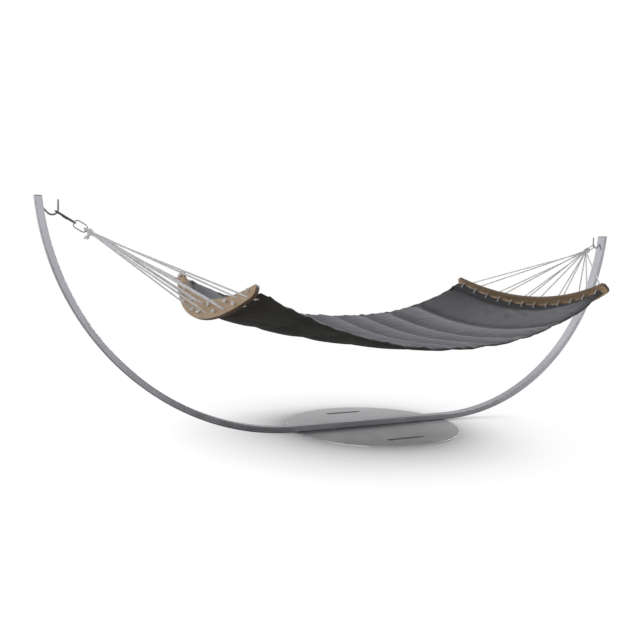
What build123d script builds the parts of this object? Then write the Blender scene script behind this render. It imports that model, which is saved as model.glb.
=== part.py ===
from build123d import *
import math
import os

os.makedirs("parts", exist_ok=True)

# Hammock on a stand. Millimetres, +Z up, +X along the hammock, origin on the floor under the plate.

# Stand: steel disc, straight rail on it, two bent arms of the same rectangular tube
plate_diameter = 920.0
plate_thickness = 8.0
plate_edge = 1.0
slot_length = 220.0
slot_width = 30.0
slot_offset = 322.0
tube_width = 50.0
tube_height = 30.0
tube_wall = 3.0
tube_corner = 4.0
rail_length = 960.0
bend_radius = 1205.0
arm_top = 1097.0
tube_inner_corner = 1.0

# Spigots inside the tube joints, and the fasteners of the stand
spigot_straight = 120.0
spigot_bent = 120.0
spigot_wall = 3.0
spigot_corner = 1.5
spigot_clearance = 0.2
arm_bolt_diameter = 6.0
arm_bolt_head = 11.0
arm_bolt_head_height = 3.3
arm_bolt_head_taper = 12.0
arm_bolt_first = 42.0
arm_bolt_pitch = 42.0
arm_bolt_count = 2
plate_screw_diameter = 8.0
plate_screw_head = 16.0
plate_screw_recess = 0.4
plate_screw_count = 5
plate_screw_pitch = 170.0
weld_nut_size = 14.0
weld_nut_height = 7.0
fastener_clearance = 0.2

# Plastic plugs in the arm ends
cap_rim = 3.0
cap_depth = 14.0
cap_corner = 1.5
cap_edge = 0.8
cap_clearance = 0.2

# Hooks welded into the inner walls of the arms
hook_rod = 8.0
hook_bend_radius = 24.0
hook_drop = 48.5
hook_reach = 34.4
hook_root_angle = 45.0
hook_foot = 12.0
hook_tip_height = 38.0
hook_clearance = 0.05

# Chain of links between the hooks and the ropes, pulled along one slope
pull_angle = 30.0
seat_gap = 0.3
link_length = 92.0
link_width = 27.0
link_wire = 7.0
link_gap = 10.0
sleeve_length = 24.0
sleeve_diameter = 12.0
sleeve_clearance = 0.08
ring_length = 62.0
ring_width = 34.0
ring_wire = 5.5

# Rope bundle tied round each ring, and the ropes that fan out from it
bundle_diameter = 14.0
knot_start = 4.0
knot_length = 22.0
knot_width = 41.0
knot_height = 32.0
knot_round = 1.5
tail_length = 24.0
tail_knot = 14.0
rope_diameter = 6.0
rope_count = 12
rope_pitch = 100.0
rope_spread = 6.6
rope_row_gap = 6.4
rope_lead = 9.0
rope_lead_radius = 10.0
rope_board_radius = 9.0
rope_board_lead = 5.0
rope_back_lead = 4.0
rope_back_radius = 5.5
rope_loop_flat = 10.0
rope_loop_radius = 5.5
rope_hole_clearance = 1.0
stop_knot = 15.0

# Crescent boards of plywood that spread the bed
board_thickness = 18.0
board_half_length = 606.0
board_end_height = 57.0
board_end_round = 24.0
board_middle_height = 101.0
board_middle_sag = 145.0
board_edge = 3.0
board_row_share = 0.2
left_board_x = -921.0
left_board_z = 769.0
left_board_tilt = 23.8
left_board_roll = 2.0
left_board_yaw = -2.0
right_board_x = 1033.0
right_board_z = 794.0
right_board_tilt = 31.0

# Quilted bed: a trough of sewn channels between two flat hems
hem_gap = 18.0
hem_length = 36.0
hem_thickness = 4.0
hem_half_width = 600.0
bed_low = 475.0
bed_middle_half_width = 620.0
bed_middle_depth = 43.0
bed_middle_roll = 1.6
bed_left_power = 2.0
bed_right_power = 2.7
seam_shares = (0.0, 0.1, 0.205, 0.305, 0.405, 0.505, 0.605, 0.705, 0.82, 1.0)
channel_crown = 18.0
seam_thickness = 4.0
puff_power = 0.6
panel_shares = (0.0, 0.08, 0.25, 0.5, 0.75, 0.92, 1.0)
eyelet_inset = 11.0
eyelet_bore = 9.0
eyelet_outer = 14.0
eyelet_proud = 0.6
eyelet_rope_gap = 0.6
eyelet_clearance = 0.1

# Places worked out from the sizes above
tube_level = plate_thickness + tube_height / 2
bend_level = tube_level + bend_radius
rail_end = rail_length / 2
wall_radius = bend_radius - tube_height / 2
hook_centre_z = arm_top - hook_drop
hook_centre_x = rail_end + math.sqrt(wall_radius**2 - (bend_level - hook_centre_z) ** 2) - hook_reach
board_middle_radius = (board_half_length**2 + board_middle_sag**2) / (2 * board_middle_sag)
pull_cos = math.cos(math.radians(pull_angle))
pull_sin = math.sin(math.radians(pull_angle))
seat_x = hook_centre_x - hook_bend_radius * pull_cos
seat_z = hook_centre_z - hook_bend_radius * pull_sin
left_side = -1
right_side = 1


def save(part, label):
    """Name a finished piece and write its file."""
    part.label = label
    export_step(part, f"parts/{label}.step")


def tube_outline(width, height, corner, wall):
    """Hollow rectangular section, centred on the tube's axis."""
    RectangleRounded(width, height, corner)
    RectangleRounded(width - 2 * wall, height - 2 * wall, tube_inner_corner, mode=Mode.SUBTRACT)


def bend_axis(side):
    """Axis of an arm's bend, turned so that a positive arc leads outwards and up."""
    return Axis((side * rail_end, 0, bend_level), (0, -side, 0))


def arm_turn(radius):
    """Angle of the bend at which a line of the tube, at this radius, reaches the arm's level end."""
    return math.acos((bend_level - arm_top) / radius)


def arm_under(side, arc_length):
    """Plane on the underside of an arm, its normal pointing out of the tube."""
    turn = arc_length / bend_radius
    reach = bend_radius + tube_height / 2
    out = Vector(side * math.sin(turn), 0, -math.cos(turn))
    centre = Vector(side * rail_end, 0, bend_level)
    return Plane(origin=centre + out * reach, x_dir=(0, 1, 0), z_dir=out)


def arm_bolt_planes(side):
    places = []
    for index in range(arm_bolt_count):
        places.append(arm_under(side, arm_bolt_first + index * arm_bolt_pitch))
    return places


def plate_screw_places():
    middle = (plate_screw_count - 1) / 2
    return [(index - middle) * plate_screw_pitch for index in range(plate_screw_count)]


# Base plate with two hand slots and countersunk screw holes underneath
with BuildPart() as base_plate:
    with BuildSketch():
        Circle(plate_diameter / 2)
        with Locations((0, slot_offset), (0, -slot_offset)):
            SlotOverall(slot_length, slot_width, mode=Mode.SUBTRACT)
    extrude(amount=plate_thickness)
    rim = base_plate.edges().filter_by(GeomType.CIRCLE).filter_by(lambda e: e.radius > plate_diameter / 3)
    chamfer(rim, plate_edge)
    for place in plate_screw_places():
        with Locations(Location((place, 0, 0), (180, 0, 0))):
            CounterSinkHole(
                plate_screw_diameter / 2 + fastener_clearance,
                plate_screw_head / 2 + plate_screw_recess + fastener_clearance,
                plate_thickness,
                90,
            )
save(base_plate.part, "base_plate")

# Straight rail, standing on the plate
with BuildPart() as centre_rail:
    with BuildSketch(Plane.YZ.offset(-rail_end)):
        with Locations((0, tube_level)):
            tube_outline(tube_width, tube_height, tube_corner, tube_wall)
    extrude(amount=rail_length)
    with BuildSketch(Plane.XY.offset(plate_thickness)):
        for place in plate_screw_places():
            with Locations((place, 0)):
                Circle(plate_screw_diameter / 2 + fastener_clearance)
    extrude(amount=tube_wall, mode=Mode.SUBTRACT)
save(centre_rail.part, "centre_rail")

# Countersunk screws through the plate, and the nuts welded inside the rail
with BuildPart() as plate_screws:
    screw_length = plate_thickness + tube_wall + weld_nut_height - plate_screw_recess
    head_height = (plate_screw_head - plate_screw_diameter) / 2
    for place in plate_screw_places():
        with Locations((place, 0, plate_screw_recess)):
            Cone(
                plate_screw_head / 2,
                plate_screw_diameter / 2,
                head_height,
                align=(Align.CENTER, Align.CENTER, Align.MIN),
            )
            Cylinder(
                plate_screw_diameter / 2,
                screw_length,
                align=(Align.CENTER, Align.CENTER, Align.MIN),
            )
save(plate_screws.part, "plate_screws")

with BuildPart() as weld_nuts:
    with BuildSketch(Plane.XY.offset(plate_thickness + tube_wall)):
        for place in plate_screw_places():
            with Locations((place, 0)):
                Rectangle(weld_nut_size, weld_nut_size)
                Circle(plate_screw_diameter / 2 + fastener_clearance, mode=Mode.SUBTRACT)
    extrude(amount=weld_nut_height)
save(weld_nuts.part, "weld_nuts")


def hook_root(side):
    """Point where the hook's rod leaves the arm's inner wall, and the rod's direction there."""
    angle = math.radians(hook_root_angle)
    along = Vector(-side * math.cos(angle), 0, -math.sin(angle))
    centre = Vector(side * hook_centre_x, 0, hook_centre_z)
    tangent = centre + Vector(side * math.sin(angle), 0, -math.cos(angle)) * hook_bend_radius
    pivot = Vector(side * rail_end, 0, bend_level)
    offset = tangent - pivot
    back = along * -1
    middle = offset.dot(back)
    run = -middle + math.sqrt(middle**2 - offset.dot(offset) + wall_radius**2)
    return tangent, along, run


# Bent arms with a cut level end, bolt holes below and a bore for the hook in the inner wall
def make_arm(side):
    tangent, along, run = hook_root(side)
    bore_plane = Plane(origin=tangent - along * run, x_dir=(0, 1, 0), z_dir=along)
    with BuildPart() as arm:
        with BuildSketch(Plane.YZ.offset(side * rail_end)):
            with Locations((0, tube_level)):
                tube_outline(tube_width, tube_height, tube_corner, tube_wall)
        revolve(axis=bend_axis(side), revolution_arc=math.degrees(arm_turn(bend_radius + tube_height)))
        split(bisect_by=Plane.XY.offset(arm_top), keep=Keep.BOTTOM)
        for plane in arm_bolt_planes(side):
            with BuildSketch(plane):
                Circle(arm_bolt_diameter / 2 + fastener_clearance)
            extrude(amount=-2 * tube_wall, mode=Mode.SUBTRACT)
        with BuildSketch(bore_plane):
            Circle(hook_rod / 2 + hook_clearance)
        extrude(amount=hook_foot, both=True, mode=Mode.SUBTRACT)
    return arm.part


# Spigot: straight in the rail, bent in the arm, threaded for the bolts
def make_spigot(side):
    width = tube_width - 2 * tube_wall - 2 * spigot_clearance
    height = tube_height - 2 * tube_wall - 2 * spigot_clearance
    with BuildPart() as spigot:
        with BuildSketch(Plane.YZ.offset(side * rail_end)) as section:
            with Locations((0, tube_level)):
                tube_outline(width, height, spigot_corner, spigot_wall)
        extrude(amount=-side * spigot_straight)
        bent_turn = math.degrees(spigot_bent / bend_radius)
        revolve(section.sketch, axis=bend_axis(side), revolution_arc=bent_turn)
        for plane in arm_bolt_planes(side):
            with BuildSketch(plane):
                Circle(arm_bolt_diameter / 2 + fastener_clearance)
            extrude(amount=-tube_wall - 2 * spigot_wall, mode=Mode.SUBTRACT)
    return spigot.part


# Plug with a rim that covers the end of the tube
def make_cap(side):
    width = tube_width - 2 * tube_wall - 2 * cap_clearance
    height = tube_height - 2 * tube_wall - 2 * cap_clearance
    end_turn = arm_turn(bend_radius)
    end_x = side * (rail_end + bend_radius * math.sin(end_turn))
    with BuildPart() as cap:
        with BuildSketch(Plane.YZ.offset(side * rail_end)):
            with Locations((0, tube_level)):
                RectangleRounded(width, height, cap_corner)
        revolve(axis=bend_axis(side), revolution_arc=math.degrees(arm_turn(bend_radius + tube_height)))
        split(bisect_by=Plane.XY.offset(arm_top), keep=Keep.BOTTOM)
        split(bisect_by=Plane.XY.offset(arm_top - cap_depth), keep=Keep.TOP)
        with BuildSketch(Plane.XY.offset(arm_top)):
            with Locations((end_x, 0)):
                RectangleRounded(tube_height / math.sin(end_turn), tube_width, tube_corner)
        extrude(amount=cap_rim)
        chamfer(cap.faces().sort_by(Axis.Z)[-1].edges(), cap_edge)
    return cap.part


# Hook: straight foot through the arm's wall, part of a circle, straight tip
def make_hook(side):
    tangent, along, run = hook_root(side)
    foot = tangent - along * (run + hook_foot)
    centre = Vector(side * hook_centre_x, 0, hook_centre_z)
    bottom = centre + Vector(0, 0, -hook_bend_radius)
    rise = centre + Vector(-side * hook_bend_radius, 0, 0)
    tip = rise + Vector(0, 0, hook_tip_height)
    with BuildPart() as hook:
        with BuildLine() as path:
            Line(foot, tangent)
            ThreePointArc(tangent, bottom, rise)
            Line(rise, tip)
        with BuildSketch(Plane(origin=foot, x_dir=(0, 1, 0), z_dir=along)):
            Circle(hook_rod / 2)
        sweep(path=path.wire())
        with Locations(tip):
            Sphere(hook_rod / 2)
    return hook.part


# Button-head bolts that hold the arms on their spigots
with BuildPart() as arm_bolts:
    for side in (left_side, right_side):
        for plane in arm_bolt_planes(side):
            with BuildSketch(plane):
                Circle(arm_bolt_head / 2)
            extrude(amount=arm_bolt_head_height, taper=arm_bolt_head_taper)
            with BuildSketch(plane):
                Circle(arm_bolt_diameter / 2)
            extrude(amount=-tube_wall - spigot_wall)
save(arm_bolts.part, "arm_bolts")

for side, name in ((left_side, "left"), (right_side, "right")):
    save(make_arm(side), f"{name}_arm")
    save(make_spigot(side), f"{name}_spigot")
    save(make_cap(side), f"{name}_end_cap")
    save(make_hook(side), f"{name}_hook")


def pull(side):
    """Direction of the pull on a hook, inwards and down."""
    return Vector(-side * pull_cos, 0, -pull_sin)


def seat(side):
    """Centre of the hook's rod where the chain hangs: both lie on the axis of the swing."""
    return Vector(side * seat_x, 0, seat_z)


def flat_plane(side, origin):
    """Plane that holds the pull and the Y axis."""
    return Plane(origin=origin, x_dir=pull(side), z_dir=pull(side).cross(Vector(0, 1, 0)))


def upright_plane(side, origin):
    """Plane that holds the pull and the Z axis."""
    return Plane(origin=origin, x_dir=pull(side), z_dir=(0, 1, 0))


def oval_points(length, width):
    radius = width / 2
    return length / 2 - radius, radius


# Quick link: an oval of wire with a gap on one side, which a threaded sleeve closes
link_start = seat(left_side) - pull(left_side) * (hook_rod / 2 + link_wire / 2 + seat_gap)
link_middle = link_start + pull(left_side) * (link_length / 2)
link_end = link_start + pull(left_side) * link_length
link_plane = flat_plane(left_side, link_middle)
link_straight, link_radius = oval_points(link_length, link_width)

with BuildPart() as quick_link:
    with BuildLine(link_plane) as link_path:
        Line((link_gap / 2, link_radius), (link_straight, link_radius))
        ThreePointArc(
            (link_straight, link_radius),
            (link_straight + link_radius, 0),
            (link_straight, -link_radius),
        )
        Line((link_straight, -link_radius), (-link_straight, -link_radius))
        ThreePointArc(
            (-link_straight, -link_radius),
            (-link_straight - link_radius, 0),
            (-link_straight, link_radius),
        )
        Line((-link_straight, link_radius), (-link_gap / 2, link_radius))
    gap_face = Plane(
        origin=link_plane.from_local_coords((link_gap / 2, link_radius, 0)),
        z_dir=pull(left_side),
    )
    with BuildSketch(gap_face):
        Circle(link_wire / 2)
    sweep(path=link_path.wire())
save(quick_link.part, "quick_link")

with BuildPart() as quick_link_sleeve:
    sleeve_plane = Plane(
        origin=link_plane.from_local_coords((-sleeve_length / 2, link_radius, 0)),
        x_dir=(0, 1, 0),
        z_dir=pull(left_side),
    )
    with BuildSketch(sleeve_plane):
        RegularPolygon(sleeve_diameter / 2, 6)
        Circle(link_wire / 2 + sleeve_clearance, mode=Mode.SUBTRACT)
    extrude(amount=sleeve_length)
save(quick_link_sleeve.part, "quick_link_sleeve")


def ring_start(side):
    """Centre of the ring's wire at the end nearest the hook."""
    if side == left_side:
        return link_end - pull(side) * (link_wire / 2 + ring_wire / 2 + seat_gap)
    return seat(side) - pull(side) * (hook_rod / 2 + ring_wire / 2 + seat_gap)


def ring_end(side):
    """Centre of the ring's wire at the end where the ropes are tied."""
    return ring_start(side) + pull(side) * ring_length


# Oval ring, upright on the left where it hangs in the link and flat on the right in the hook
def make_ring(side):
    middle = ring_start(side) + pull(side) * (ring_length / 2)
    plane = upright_plane(side, middle) if side == left_side else flat_plane(side, middle)
    straight, radius = oval_points(ring_length, ring_width)
    with BuildPart() as ring:
        with BuildLine(plane) as path:
            Line((-straight, radius), (straight, radius))
            ThreePointArc((straight, radius), (straight + radius, 0), (straight, -radius))
            Line((straight, -radius), (-straight, -radius))
            ThreePointArc((-straight, -radius), (-straight - radius, 0), (-straight, radius))
        start = Plane(origin=plane.from_local_coords((-straight, radius, 0)), z_dir=pull(side))
        with BuildSketch(start):
            Circle(ring_wire / 2)
        sweep(path=path.wire())
    return ring.part


def knot_plane(side, distance):
    """Plane across the pull at a distance past the ring, its Y pointing up."""
    origin = ring_end(side) + pull(side) * distance
    return Plane(origin=origin, x_dir=(0, -side, 0), z_dir=pull(side))


# Rope bundle looped through the ring and tied, with a loose knotted tail on the left
def make_clew(side):
    loop_radius = ring_wire / 2 + seat_gap + bundle_diameter / 2
    plane = flat_plane(side, ring_end(side)) if side == left_side else upright_plane(side, ring_end(side))
    leg = knot_start + knot_length / 2
    with BuildPart() as clew:
        with BuildLine(plane) as path:
            Line((leg, loop_radius), (0, loop_radius))
            ThreePointArc((0, loop_radius), (-loop_radius, 0), (0, -loop_radius))
            Line((0, -loop_radius), (leg, -loop_radius))
        start = Plane(origin=plane.from_local_coords((leg, loop_radius, 0)), z_dir=pull(side) * -1)
        with BuildSketch(start):
            Circle(bundle_diameter / 2)
        sweep(path=path.wire())
        with BuildSketch(knot_plane(side, knot_start)) as knot:
            Ellipse(knot_width / 2, knot_height / 2)
        extrude(amount=knot_length)
        fillet(clew.edges().filter_by(GeomType.ELLIPSE), knot_round)
        if side == left_side:
            tail_top = knot_plane(side, leg).origin - Vector(0, 0, knot_height / 2 - rope_diameter)
            tail_end = tail_top - Vector(0, 0, tail_length)
            with BuildSketch(Plane(origin=tail_top, z_dir=(0, 0, -1))):
                Circle(rope_diameter / 2)
            extrude(amount=tail_length)
            with Locations(tail_end):
                Sphere(tail_knot / 2)
    return clew.part


def turned(direction, roll, yaw):
    """Direction after a roll about X and then a yaw about Z."""
    return Vector(*direction).rotate(Axis.X, roll).rotate(Axis.Z, yaw)


def board_plane(side):
    """Plane of a board's outer face: local Y runs up the face, local Z points out towards the ring."""
    if side == left_side:
        origin = (left_board_x, 0, left_board_z)
        tilt, roll, yaw = math.radians(left_board_tilt), left_board_roll, left_board_yaw
    else:
        origin = (right_board_x, 0, right_board_z)
        tilt, roll, yaw = math.radians(right_board_tilt), 0, 0
    out = turned((side * math.cos(tilt), 0, math.sin(tilt)), roll, yaw)
    return Plane(origin=origin, x_dir=turned((0, side, 0), roll, yaw), z_dir=out)


def station_across(index):
    """Distance of a rope's station from the middle of the board, along Y."""
    return (index - (rope_count - 1) / 2) * rope_pitch


def station_rank(index):
    """Stations counted outwards from the middle, 0 next to it."""
    return int(abs(index - (rope_count - 1) / 2))


def station_hole(side, index, upper, depth):
    """Point on a hole's axis: depth is measured inwards from the board's outer face."""
    across = side * station_across(index)
    share = across / board_half_length
    height = board_middle_height - (board_middle_height - board_end_height) * share**2
    row = board_row_share * height * upper
    turn = math.asin(across / board_middle_radius)
    radius = board_middle_radius - row
    centre_level = board_middle_radius - board_middle_sag
    local = (radius * math.sin(turn), centre_level - radius * math.cos(turn), -depth)
    return board_plane(side).from_local_coords(local)


def station_up(side, index):
    """Direction across the board's curve at a station, from the lower hole to the upper one."""
    line = station_hole(side, index, 1, 0) - station_hole(side, index, -1, 0)
    return line.normalized()


# Crescent board with rounded ends and two rows of rope holes
def make_board(side):
    top_middle = -board_middle_sag + board_middle_height / 2
    low_middle = -board_middle_sag - board_middle_height / 2
    end_turn = math.asin(board_half_length / board_middle_radius)
    lean = board_end_height / 2 * math.sin(end_turn)
    rise = board_end_height / 2 * math.cos(end_turn)
    plane = board_plane(side)
    with BuildPart() as board:
        with BuildSketch(plane):
            with BuildLine():
                top = ThreePointArc(
                    (-board_half_length + lean, rise),
                    (0, top_middle),
                    (board_half_length - lean, rise),
                )
                low = ThreePointArc(
                    (-board_half_length - lean, -rise),
                    (0, low_middle),
                    (board_half_length + lean, -rise),
                )
                Line(top @ 0, low @ 0)
                Line(top @ 1, low @ 1)
            face = make_face()
            fillet(face.vertices(), board_end_round)
        extrude(amount=-board_thickness)
        rims = board.faces().sort_by(Axis(plane.origin, plane.z_dir))
        fillet(rims[0].edges() + rims[-1].edges(), board_edge)
        for index in range(rope_count):
            for upper in (1, -1):
                mouth = station_hole(side, index, upper, 0)
                with BuildSketch(Plane(origin=mouth, z_dir=plane.z_dir)):
                    Circle((rope_diameter + rope_hole_clearance) / 2)
                extrude(amount=-board_thickness, mode=Mode.SUBTRACT)
    return board.part


def eyelet_depth():
    return board_thickness + hem_gap + eyelet_inset


def eyelet_place(side, index):
    return station_hole(side, index, 0, eyelet_depth())


# One rope: from the tied bundle through the board, the eyelet and the board again to its stop knot
def make_rope(side, index):
    rank = station_rank(index)
    upper = 1 if rank % 2 == 0 else -1
    across = math.copysign((rank // 2 + 0.5) * rope_spread, station_across(index))
    face = knot_plane(side, knot_start + knot_length)
    outward = board_plane(side).z_dir
    up = station_up(side, index) * upper
    bore_slack = eyelet_bore / 2 - rope_diameter / 2 - eyelet_rope_gap
    loop_depth = eyelet_depth() - bore_slack
    loop_middle = station_hole(side, index, 0, loop_depth)
    back_depth = board_thickness + rope_back_lead
    knot_centre = station_hole(side, index, -upper, 0) + outward * (stop_knot / 2 + seat_gap)
    start = face.from_local_coords((-side * across, upper * rope_row_gap / 2, 0))
    route = [
        start,
        start + pull(side) * rope_lead,
        station_hole(side, index, upper, 0) + outward * rope_board_lead,
        station_hole(side, index, upper, back_depth),
        loop_middle + up * (rope_loop_flat / 2),
        loop_middle - up * (rope_loop_flat / 2),
        station_hole(side, index, -upper, back_depth),
        knot_centre,
    ]
    radii = [
        rope_lead_radius,
        rope_board_radius,
        rope_back_radius,
        rope_loop_radius,
        rope_loop_radius,
        rope_back_radius,
    ]
    with BuildPart() as rope:
        with BuildLine() as path:
            FilletPolyline(*route, radius=radii)
        line = path.wire()
        length = line.length
        with BuildSketch(Plane(origin=line @ 0, z_dir=line % 0)):
            Circle(rope_diameter / 2)
        sweep(path=line)
        with Locations(Plane(origin=knot_centre, z_dir=outward)):
            Sphere(stop_knot / 2)
    return rope.part, length


# Metal eyelets in the hems, their axes square to the cloth
def make_eyelets(side):
    with BuildPart() as eyelets:
        for index in range(rope_count):
            with BuildSketch(Plane(origin=eyelet_place(side, index), z_dir=station_up(side, index))):
                Circle(eyelet_outer / 2)
                Circle(eyelet_bore / 2, mode=Mode.SUBTRACT)
            extrude(amount=hem_thickness / 2 + eyelet_proud, both=True)
    return eyelets.part


def hem_plane(side, distance):
    """Plane across a hem at a distance from its edge: local X runs across the bed, local Z along it."""
    face = board_plane(side)
    depth = board_thickness + hem_gap + distance
    place = face.from_local_coords((0, -board_middle_sag, -depth))
    return Plane(origin=place, x_dir=face.x_dir * side, z_dir=face.z_dir * side)


left_seam = hem_plane(left_side, hem_length).origin
right_seam = hem_plane(right_side, hem_length).origin
hem_depth = board_middle_radius - math.sqrt(board_middle_radius**2 - hem_half_width**2)


def trough_level(x):
    """Height of the bed's middle line: a hollow that rises to a hem on each side of its lowest point."""
    left_root = math.sqrt(left_seam.Z - bed_low)
    right_root = math.sqrt(right_seam.Z - bed_low)
    low_x = (left_seam.X * right_root + right_seam.X * left_root) / (left_root + right_root)
    if x < low_x:
        share = (x - low_x) / (left_seam.X - low_x)
        return bed_low + (left_seam.Z - bed_low) * share**bed_left_power
    share = (x - low_x) / (right_seam.X - low_x)
    return bed_low + (right_seam.Z - bed_low) * share**bed_right_power


def bed_plane(along):
    """Plane across the bed at a share of the way from the left hem to the right one."""
    x = left_seam.X + (right_seam.X - left_seam.X) * along
    middle = Vector(x, left_seam.Y * (1 - along), trough_level(x))
    tilt = math.radians(left_board_tilt - (left_board_tilt + right_board_tilt) * along)
    roll = left_board_roll * (1 - along) + bed_middle_roll * 4 * along * (1 - along)
    yaw = left_board_yaw * (1 - along)
    forward = turned((math.cos(tilt), 0, -math.sin(tilt)), roll, yaw)
    return Plane(origin=middle, x_dir=turned((0, 1, 0), roll, yaw), z_dir=forward)


def arched_outline(half, depth, thick):
    """Section of the cloth: an even thickness over an arc that hangs in the middle."""
    with BuildLine() as outline:
        ThreePointArc((-half, depth + thick / 2), (0, thick / 2), (half, depth + thick / 2))
        Line((half, depth + thick / 2), (half, depth - thick / 2))
        ThreePointArc((half, depth - thick / 2), (0, -thick / 2), (-half, depth - thick / 2))
        Line((-half, depth - thick / 2), (-half, depth + thick / 2))
    make_face(outline.edges())


# Flat hem behind a board, with a row of holes for its eyelets
def make_hem(side):
    with BuildPart() as hem:
        for distance in (0, hem_length):
            with BuildSketch(hem_plane(side, distance)):
                arched_outline(hem_half_width, hem_depth, hem_thickness)
        loft(ruled=True)
        for index in range(rope_count):
            with BuildSketch(Plane(origin=eyelet_place(side, index), z_dir=station_up(side, index))):
                Circle(eyelet_outer / 2 + eyelet_clearance)
            extrude(amount=hem_thickness * 2, both=True, mode=Mode.SUBTRACT)
    return hem.part


# Quilted panel: a filled channel across the bed, thick in its middle and thin at the seams
def make_panel(channel):
    with BuildPart() as panel:
        for share in panel_shares:
            along = seam_shares[channel] + (seam_shares[channel + 1] - seam_shares[channel]) * share
            out = (2 * along - 1) ** 2
            half = bed_middle_half_width + (hem_half_width - bed_middle_half_width) * out
            depth = bed_middle_depth + (hem_depth - bed_middle_depth) * out
            puff = max(math.sin(math.pi * share), 0) ** puff_power
            with BuildSketch(bed_plane(along)):
                arched_outline(half, depth, seam_thickness + (channel_crown - seam_thickness) * puff)
        loft(ruled=True)
    return panel.part


for channel in range(len(seam_shares) - 1):
    save(make_panel(channel), f"quilted_panel_{channel + 1}")

for side, name in ((left_side, "left"), (right_side, "right")):
    save(make_ring(side), f"{name}_ring")
    save(make_clew(side), f"{name}_clew")
    save(make_board(side), f"{name}_board")
    save(make_hem(side), f"{name}_hem")
    save(make_eyelets(side), f"{name}_eyelets")
    for index in range(rope_count):
        rope, length = make_rope(side, index)
        save(rope, f"{name}_rope_{index + 1}")
        section = math.pi * rope_diameter**2 / 4
        ball = math.pi * stop_knot**3 / 6
        print(f"{name} rope {index + 1}: {length:.0f} mm long, volume share",
              round(rope.volume / (section * length + ball), 3))
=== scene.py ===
import bmesh
import bpy
import math
from mathutils import Matrix, Vector, noise


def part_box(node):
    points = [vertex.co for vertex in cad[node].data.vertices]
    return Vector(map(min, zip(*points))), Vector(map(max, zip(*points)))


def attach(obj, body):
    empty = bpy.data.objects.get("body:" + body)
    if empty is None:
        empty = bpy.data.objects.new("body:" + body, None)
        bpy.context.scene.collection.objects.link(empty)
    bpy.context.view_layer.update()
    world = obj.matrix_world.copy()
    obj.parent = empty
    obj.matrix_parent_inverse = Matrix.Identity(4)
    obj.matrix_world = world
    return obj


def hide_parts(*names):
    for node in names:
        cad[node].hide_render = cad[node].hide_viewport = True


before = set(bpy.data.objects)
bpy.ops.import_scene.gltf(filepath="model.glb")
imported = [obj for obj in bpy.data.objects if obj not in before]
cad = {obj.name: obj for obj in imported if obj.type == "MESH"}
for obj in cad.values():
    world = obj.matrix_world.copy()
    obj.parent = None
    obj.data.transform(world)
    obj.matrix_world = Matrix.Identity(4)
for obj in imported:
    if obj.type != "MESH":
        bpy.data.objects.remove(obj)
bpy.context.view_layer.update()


# Floor plate: a disc cut from 8 mm steel sheet, ground to a satin face, with two hand slots.
# The rail is screwed down on it from below through countersunk holes.
plate_grey = (0.455, 0.459, 0.472)
plate_dark = (0.36, 0.36, 0.37)
# Painted highlight on the disc's edge: how much brighter, and the radii where it starts and is full.
rim_highlight_gain = 2.1
rim_start = 0.4588
rim_full = 0.4592
grain_share = 0.45
wear_range = (0.45, 0.95)
polish_gain = 0.07
wear_gain = 0.1


def new_finish(name, colour, metallic, roughness):
    """New material with its plain values on the shader, and its node tree."""
    material = bpy.data.materials.new(name)
    material.use_nodes = True
    shader = material.node_tree.nodes["Principled BSDF"]
    shader.inputs["Base Color"].default_value = (*colour, 1)
    shader.inputs["Metallic"].default_value = metallic
    shader.inputs["Roughness"].default_value = roughness
    return material, material.node_tree, shader


def put(tree, kind, values=(), **settings):
    """Add a shader node: settings are its options, values its sockets that nothing is wired to."""
    made = tree.nodes.new("ShaderNode" + kind)
    for option, value in settings.items():
        setattr(made, option, value)
    for socket, value in dict(values).items():
        made.inputs[socket].default_value = value
    return made


def wire(tree, source, node, socket):
    tree.links.new(source, node.inputs[socket])


def reckon(tree, operation, *terms):
    """Result of a Math node, whose terms are numbers or sockets."""
    made = put(tree, "Math", operation=operation)
    for place, term in enumerate(terms):
        if isinstance(term, (int, float)):
            made.inputs[place].default_value = term
        else:
            wire(tree, term, made, place)
    return made.outputs[0]


def object_points(tree, scale=(1, 1, 1), turn=(0, 0, 0), place=(0, 0, 0)):
    """Object coordinates, turned, moved and stretched by a Mapping node."""
    points = put(tree, "TexCoord")
    mapping = put(tree, "Mapping", {"Location": place, "Rotation": turn, "Scale": scale})
    wire(tree, points.outputs["Object"], mapping, "Vector")
    return mapping.outputs["Vector"]


def speckle(tree, points, scale, detail=3.0, rough=0.55):
    """Noise from 0 to 1 at points."""
    made = put(tree, "TexNoise", {"Scale": scale, "Detail": detail, "Roughness": rough})
    wire(tree, points, made, "Vector")
    return made.outputs["Fac"]


def span(tree, source, low, high, start=0.3, end=0.7):
    """Stretch a value between two limits."""
    values = {"From Min": start, "From Max": end, "To Min": low, "To Max": high}
    made = put(tree, "MapRange", values)
    wire(tree, source, made, "Value")
    return made.outputs["Result"]


def tint(tree, source, low, high):
    """Colour between two others, each a plain colour or a socket."""
    made = put(tree, "Mix", data_type="RGBA")
    ends = [socket for socket in made.inputs if socket.type == "RGBA"]
    for end, colour in zip(ends, (low, high)):
        if isinstance(colour, tuple):
            end.default_value = (*colour, 1)
        else:
            tree.links.new(colour, end)
    wire(tree, source, made, 0)
    return [socket for socket in made.outputs if socket.type == "RGBA"][0]


def relief(tree, shader, source, strength, depth):
    """Raise a finish's surface by a pattern."""
    made = put(tree, "Bump", {"Strength": strength, "Distance": depth})
    wire(tree, source, made, "Height")
    wire(tree, made.outputs["Normal"], shader, "Normal")


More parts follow.
